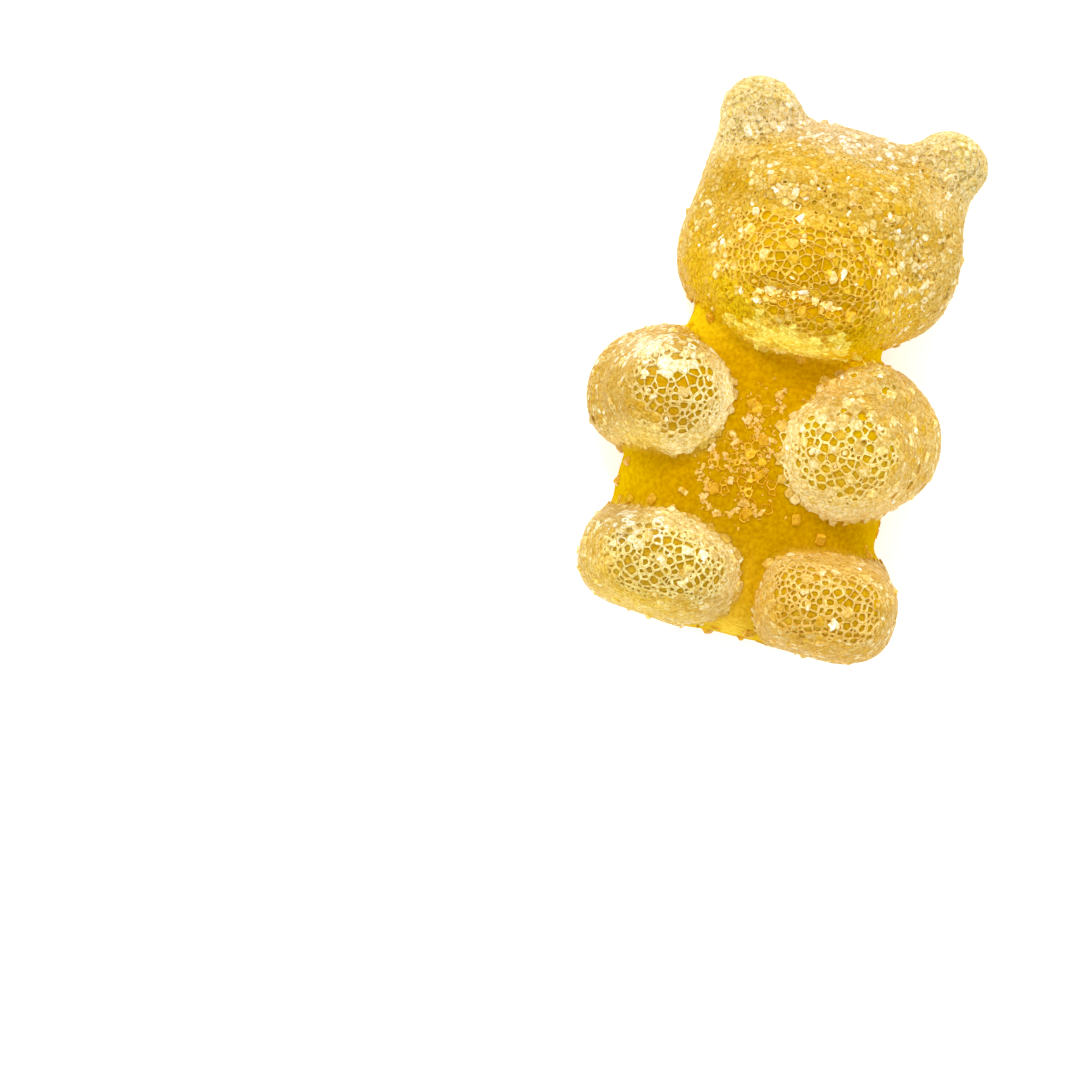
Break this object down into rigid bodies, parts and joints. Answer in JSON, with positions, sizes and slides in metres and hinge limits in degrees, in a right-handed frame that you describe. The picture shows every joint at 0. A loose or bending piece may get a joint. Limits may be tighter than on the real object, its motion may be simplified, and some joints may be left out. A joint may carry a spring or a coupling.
{
  "type": "gummy bear",
  "caption": "Sugared fruit jelly sweet in the shape of a sitting bear, with a flat back, round ears, a broad muzzle and raised paws.",
  "frame": {"origin": "on the flat back, under the middle of the bear's outline", "axes": "+X to the right of someone looking down at the bear's face, +Y from its feet to its ears, +Z out of its belly; it lies on its flat back"},
  "size_m": [0.0144, 0.0221, 0.0093],
  "materials": {
    "sugared_jelly": "translucent amber-yellow jelly under a pale coat of fine sugar grains"
  },
  "bodies": {
    "root": {"gummy_bear": "sugared_jelly"}
  },
  "joints": []
}
